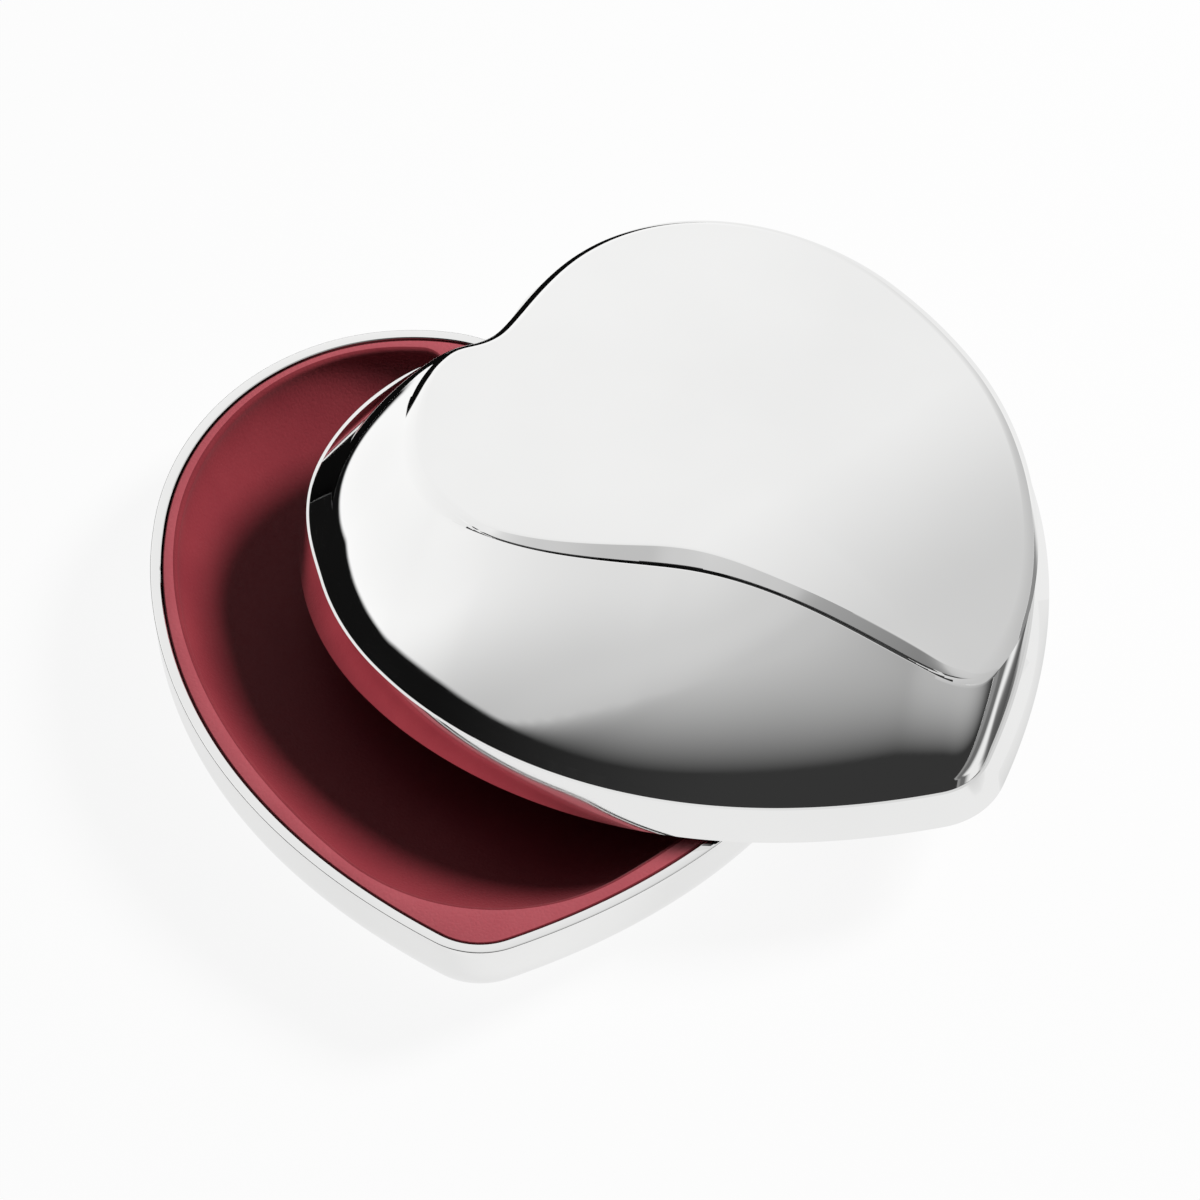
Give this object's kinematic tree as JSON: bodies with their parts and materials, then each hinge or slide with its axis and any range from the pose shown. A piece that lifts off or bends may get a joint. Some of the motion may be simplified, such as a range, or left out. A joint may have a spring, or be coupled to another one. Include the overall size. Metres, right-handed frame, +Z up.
{
  "type": "pill box",
  "caption": "Heart-shaped metal pill box with a red lined tray and a sculpted lid that swivels sideways on a pivot near the cleft",
  "frame": {"origin": "on the flat underside of the tray, under the middle of its heart", "axes": "+Z up, +Y from the heart's point towards its cleft, +X to the right lobe"},
  "size_m": [0.0674, 0.0675, 0.0189],
  "materials": {
    "polished_metal": "mirror polished",
    "red_liner": "fine grain, soft sheen",
    "slip_plastic": "matt",
    "plain_steel": "plain"
  },
  "bodies": {
    "base": {"base_shell": "polished_metal", "base_liner": "red_liner", "slip_washer": "slip_plastic", "spring_washer": "plain_steel"},
    "lid": {"lid_shell": "polished_metal", "lid_lining": "red_liner", "pivot_screw": "plain_steel"}
  },
  "joints": [
    {"name": "lid_swivel", "type": "hinge", "parent": "base", "child": "lid", "pos_m": [-0.00054, 0.0146, 0.0073], "axis": [0, 0, 1], "range_deg": [-45.7, 134.3]}
  ]
}
